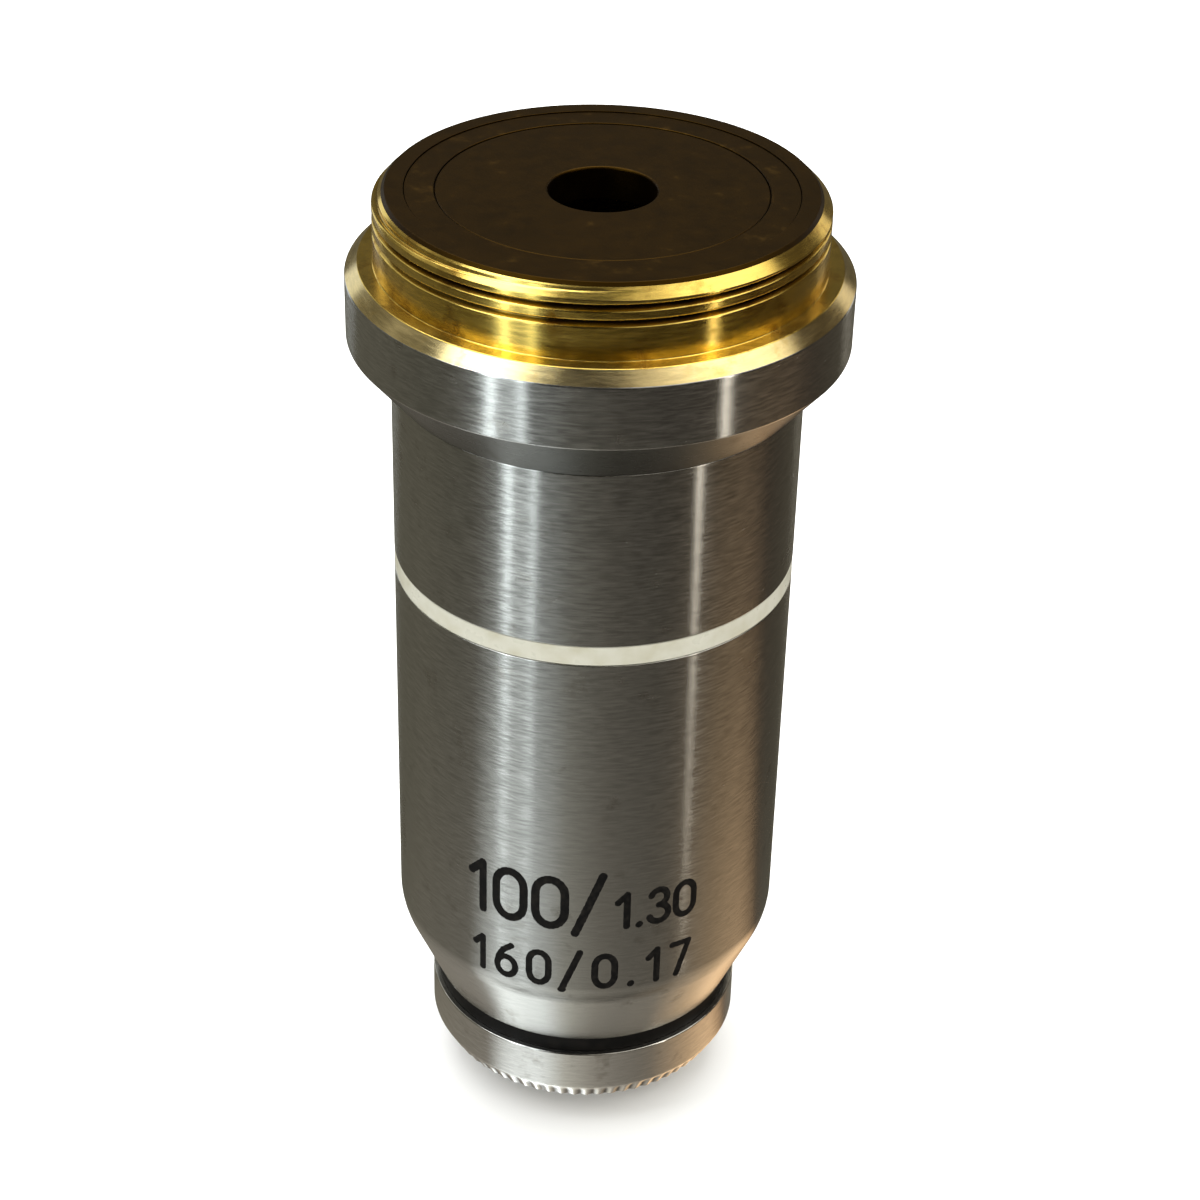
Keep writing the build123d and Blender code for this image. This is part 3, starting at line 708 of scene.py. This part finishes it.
spring_mesh.polygons.foreach_set("use_smooth", [True] * len(spring_mesh.polygons))
spring_mesh.set_sharp_from_angle(angle=GROUND_EDGE)
spring_mesh.materials.append(spring_steel)
spring = bpy.data.objects.new("coil_spring", spring_mesh)
bpy.context.scene.collection.objects.link(spring)
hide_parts("return_spring")
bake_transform(spring)


# Engraved figures. Plain numbers cut into the sleeve with a round-ended cutter and filled with black
# paint, which is all that shows: magnification and aperture, and below them tube length and cover
# glass. A stroke of the cutter is a little wider on taller figures.
FIGURE_STROKE = 0.16
FIGURE_FILL = 0.012
FIGURE_SINK = -0.004
STROKE_STEP = 0.3
STROKE_END_STEPS = 8
MITRE_LIMIT = 0.45
STROKE_EDGE = math.radians(35)
PAINT_TONE = "#0C0B0A"
PAINT_WORN = "#1C1915"
figure_paint = enamel_coat("black_engraving_paint", PAINT_TONE, PAINT_WORN, roughness=0.6,
                           speck_size=0.25, gloss=0.1)


def arc(centre_x, centre_y, radius_x, radius_y, start, end, steps=14):
    """Points of an elliptical arc, in degrees."""
    angles = [math.radians(start + (end - start) * step / steps) for step in range(steps + 1)]
    return [(centre_x + radius_x * math.cos(angle), centre_y + radius_y * math.sin(angle))
            for angle in angles]


# Width of each figure and its strokes, in a cell one high.
FIGURES = {
    "0": (0.56, [arc(0.28, 0.68, 0.26, 0.32, 0, 180) + arc(0.28, 0.32, 0.26, 0.32, 180, 360)
                 + [(0.54, 0.68)]]),
    "1": (0.36, [[(0.05, 0.76), (0.28, 1.0)], [(0.28, 1.0), (0.28, 0.0)]]),
    "3": (0.54, [arc(0.26, 0.76, 0.22, 0.24, 160, -90), arc(0.26, 0.26, 0.26, 0.26, 90, -160)]),
    "6": (0.56, [arc(0.28, 0.3, 0.26, 0.3, 0, 360, 24),
                 [(0.02, 0.3), (0.06, 0.55), (0.2, 0.82), (0.42, 1.0)]]),
    "7": (0.52, [[(0.02, 1.0), (0.5, 1.0)], [(0.5, 1.0), (0.16, 0.0)]]),
    "/": (0.50, [[(0.0, -0.12), (0.46, 1.12)]]),
    ".": (0.16, [[(0.07, 0.0), (0.09, 0.02)]]),
}


def stroke_faces(builder, points, width):
    """Round-ended stroke of paint, closed underneath; points are (distance round, height)."""
    line = [Vector(points[0])]
    for point in points[1:]:
        run = Vector(point) - line[-1]
        parts = max(1, math.ceil(run.length / STROKE_STEP))
        line += [line[-1] + run * (part / parts) for part in range(1, parts + 1)]
    edges = []
    for index, point in enumerate(line):
        before = line[max(index - 1, 0)]
        after = line[min(index + 1, len(line) - 1)]
        run = (after - before).normalized()
        side = Vector((-run.y, run.x))
        arrive = (point - before).normalized() if index else run
        sharp = max(MITRE_LIMIT, abs(side.dot(Vector((-arrive.y, arrive.x)))))
        edges.append((point + side * width / 2 / sharp, point - side * width / 2 / sharp))

    def vertex(flat, lift):
        angle = flat.x / BARREL_R - math.pi / 2
        radius = (BARREL_R + lift) * MM
        return builder.verts.new((radius * math.cos(angle), radius * math.sin(angle), flat.y * MM))

    rails = [(vertex(left, FIGURE_SINK), vertex(point, FIGURE_FILL), vertex(right, FIGURE_SINK))
             for point, (left, right) in zip(line, edges)]
    for (left, centre, right), (left_on, centre_on, right_on) in zip(rails, rails[1:]):
        builder.faces.new((left, centre, centre_on, left_on))
        builder.faces.new((centre, right, right_on, centre_on))
        builder.faces.new((right, left, left_on, right_on))
    stroke_ends = ((line[0], line[1], rails[0][::-1]), (line[-1], line[-2], rails[-1]))
    turns = [math.pi * step / STROKE_END_STEPS for step in range(1, STROKE_END_STEPS)]
    for end, inner, (first, centre, last) in stroke_ends:
        outward = (end - inner).normalized()
        side = Vector((-outward.y, outward.x))
        bend = [vertex(end + (outward * math.sin(turn) + side * math.cos(turn)) * width / 2,
                       FIGURE_SINK) for turn in turns]
        rim = [first] + bend + [last]
        for here, there in zip(rim, rim[1:]):
            builder.faces.new((centre, there, here))
        builder.faces.new(rim)


def figures(name, texts, base_height, spacing):
    """A row of figures on the barrel. texts gives (characters, height, start round the barrel)."""
    builder = bmesh.new()
    for characters, size, start in texts:
        across = start
        for character in characters:
            width, strokes = FIGURES[character]
            for points in strokes:
                placed = [(across + x * size, base_height + y * size) for x, y in points]
                stroke_faces(builder, placed, FIGURE_STROKE * (1 + size))
            across += (width + spacing) * size
    bmesh.ops.recalc_face_normals(builder, faces=builder.faces)
    mesh = bpy.data.meshes.new(name)
    builder.to_mesh(mesh)
    builder.free()
    mesh.polygons.foreach_set("use_smooth", [True] * len(mesh.polygons))
    mesh.set_sharp_from_angle(angle=STROKE_EDGE)
    mesh.materials.append(figure_paint)
    row = bpy.data.objects.new(name, mesh)
    bpy.context.scene.collection.objects.link(row)
    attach(row, "housing")


figures("magnification_figures", (("100/", 2.75, -5.9), ("1.30", 1.9, 1.5)),
        base_height=-30.6, spacing=0.17)
figures("tube_length_figures", (("160/0.17", 1.85, -5.65),), base_height=-34.2, spacing=0.34)


# Floor and lights. White sweep paper, lit from above by a large softbox. Softboxes at both sides and a
# dim wall at the left light the rims, and narrow strips, three at the left, one at the right and two
# behind, draw the long highlights on the barrel. Metal mirrors the room below and not the paper.
FLOOR_TONE = "#F4F4F3"
FLOOR_HALF = 3.0
FLOOR_Z = -44.91 * MM
floor_mesh = bpy.data.meshes.new("floor")
floor_mesh.from_pydata([(-FLOOR_HALF, -FLOOR_HALF, FLOOR_Z), (FLOOR_HALF, -FLOOR_HALF, FLOOR_Z),
                        (FLOOR_HALF, FLOOR_HALF, FLOOR_Z), (-FLOOR_HALF, FLOOR_HALF, FLOOR_Z)], [],
                       [(0, 1, 2, 3)])
floor = bpy.data.objects.new("floor", floor_mesh)
bpy.context.scene.collection.objects.link(floor)
floor.visible_glossy = False
floor_paper = bpy.data.materials.new("white_sweep_paper")
floor_paper.use_nodes = True
tree = floor_paper.node_tree
tree.nodes.clear()
paper_surface = add(tree, "ShaderNodeBsdfPrincipled", {
    "Base Color": colour(FLOOR_TONE), "Roughness": 0.9, "Specular IOR Level": 0.2}).outputs[0]
add(tree, "ShaderNodeOutputMaterial", {0: paper_surface})
floor_mesh.materials.append(floor_paper)

# Each panel's azimuth is 0 towards the camera and grows to the right. Angles are in degrees, and
# distance, width and height in metres.
LIT_CENTRE = Vector((0, 0, -22 * MM))
PANELS = (
    # name, azimuth, elevation, distance, width, height, radiance, tone
    ("overhead_softbox", 180, 72, 0.9, 0.9, 0.7, 4.2, "#FFFFFF"),
    ("left_softbox", -68, 55, 0.8, 0.34, 0.5, 3.8, "#FAFDFF"),
    ("left_wall", -126, 50, 0.8, 0.42, 0.5, 0.6, "#FFFDF6"),
    ("right_softbox", 62, 50, 0.8, 1.1, 0.45, 0.95, "#FFF8EC"),
    ("right_softbox_edge", 84, 52, 0.79, 0.45, 0.4, 1.1, "#FFFCF4"),
    ("left_strip_outer", -46, 8, 0.42, 0.03, 0.5, 4.6, "#F0FAFF"),
    ("left_strip_middle", -41, 8, 0.425, 0.155, 0.5, 1.1, "#F0FAFF"),
    ("left_strip_inner", -32, 8, 0.42, 0.03, 0.5, 2.6, "#F0FAFF"),
    ("right_strip", 56.5, 8, 0.42, 0.018, 0.5, 7.0, "#FFF6E8"),
    ("back_left_strip", -140, 6, 0.42, 0.1, 0.4, 0.9, "#F4FAFF"),
    ("back_right_strip", 138, 6, 0.42, 0.08, 0.4, 0.8, "#FFF6E8"),
)
for name, azimuth, elevation, distance, width, height, radiance, tone in PANELS:
    data = bpy.data.lights.new(name, "AREA")
    data.shape = "RECTANGLE"
    data.size = width
    data.size_y = height
    data.color = colour(tone)[:3]
    data.energy = radiance * math.pi * width * height
    light = bpy.data.objects.new(name, data)
    turn, rise = math.radians(azimuth), math.radians(elevation)
    place = LIT_CENTRE + Vector((math.sin(turn) * math.cos(rise), -math.cos(turn) * math.cos(rise),
                                 math.sin(rise))) * distance
    aim = (LIT_CENTRE - place).to_track_quat("-Z", "Y").to_matrix().to_4x4()
    light.matrix_world = Matrix.Translation(place) @ aim
    light.visible_camera = False
    bpy.context.scene.collection.objects.link(light)


# The room that the metal mirrors: dim and brown at the height of the eye, and lighter towards the
# table, where the strips are mirrored again, cool at the left and warm at the right, except in the
# objective's own shadow. Paint, paper and the background get a paler room.
ROOM_STRENGTH = 2.0
PALE_ROOM = "#B4B4B2"
# From and to, as the height or the depth of a direction one long.
TABLE_EDGE = (-0.6, -0.7)
SHADOW_EDGE = (-0.74, -0.86)
SHADOW_SIDE = (-0.06, -0.2)
SHADOW_SHARE = 0.8
TABLE_REACH = 0.6
# Tone by direction, in degrees from the camera's side.
LOW_ROOM = ((-180, "#6C675E"), (-100, "#6C675E"), (-44, "#78736C"), (-35, "#FAFFFF"),
            (-18, "#FAFFFF"), (-8, "#BEBCB3"), (6, "#959087"), (16, "#827D75"), (32, "#6E6961"),
            (54, "#B39878"), (74, "#F2CB9F"), (94, "#CDA67C"), (108, "#6E5A48"), (150, "#77736A"),
            (180, "#6C675E"))
HIGH_ROOM = ((-180, "#454238"), (-112, "#4B483F"), (-80, "#3D3B33"), (-25, "#1E1B16"),
             (70, "#1A1712"), (110, "#312B24"), (180, "#454238"))
world = bpy.data.worlds.new("dim_room")
world.use_nodes = True
world.cycles.sampling_method = "NONE"
tree = world.node_tree
tree.nodes.clear()
direction = add(tree, "ShaderNodeTexCoord").outputs["Generated"]
rightward, backward, upward = add(tree, "ShaderNodeSeparateXYZ", {0: direction}).outputs
table_light = add(tree, "ShaderNodeMapRange", {
    0: upward, 1: TABLE_EDGE[0], 2: TABLE_EDGE[1], 3: 0.0, 4: 1.0},
    interpolation_type="SMOOTHSTEP").outputs[0]
steep = add(tree, "ShaderNodeMapRange", {
    0: upward, 1: SHADOW_EDGE[0], 2: SHADOW_EDGE[1], 3: 0.0, 4: SHADOW_SHARE},
    interpolation_type="SMOOTHSTEP").outputs[0]
near_foot = add(tree, "ShaderNodeMapRange", {
    0: backward, 1: SHADOW_SIDE[0], 2: SHADOW_SIDE[1], 3: 0.0, 4: 1.0},
    interpolation_type="SMOOTHSTEP").outputs[0]
own_shadow = add(tree, "ShaderNodeMath", {0: steep, 1: near_foot}, operation="MULTIPLY").outputs[0]
unshaded = add(tree, "ShaderNodeMath", {0: 1.0, 1: own_shadow}, operation="SUBTRACT").outputs[0]
low = add(tree, "ShaderNodeMath", {0: table_light, 1: unshaded}, operation="MULTIPLY").outputs[0]
reach = add(tree, "ShaderNodeMath", {0: low, 1: TABLE_REACH}, operation="MULTIPLY").outputs[0]
toward = add(tree, "ShaderNodeMath", {0: reach, 1: backward}, operation="SUBTRACT").outputs[0]
bearing = add(tree, "ShaderNodeMath", {0: rightward, 1: toward}, operation="ARCTAN2").outputs[0]
share = add(tree, "ShaderNodeMath", {0: bearing, 1: 1 / (2 * math.pi), 2: 0.5},
            operation="MULTIPLY_ADD").outputs[0]
tones = []
for stops in (HIGH_ROOM, LOW_ROOM):
    node = add(tree, "ShaderNodeValToRGB", {0: share})
    ramp = node.color_ramp
    while len(ramp.elements) < len(stops):
        ramp.elements.new(1.0)
    for element, (degrees, tone) in zip(ramp.elements, stops):
        element.position = degrees / 360 + 0.5
        element.color = colour(tone)
    tones.append(node.outputs[0])
room = add(tree, "ShaderNodeMix", {0: low, 6: tones[0], 7: tones[1]}, data_type="RGBA").outputs[2]
path = add(tree, "ShaderNodeLightPath").outputs
pale = add(tree, "ShaderNodeMath", {0: path["Is Diffuse Ray"], 1: path["Is Camera Ray"]},
           operation="MAXIMUM").outputs[0]
seen = add(tree, "ShaderNodeMix", {0: pale, 6: room, 7: colour(PALE_ROOM)},
           data_type="RGBA").outputs[2]
backdrop = add(tree, "ShaderNodeBackground", {0: seen, 1: ROOM_STRENGTH}).outputs[0]
add(tree, "ShaderNodeOutputWorld", {0: backdrop})
bpy.context.scene.world = world
bpy.context.scene.view_settings.view_transform = "Standard"
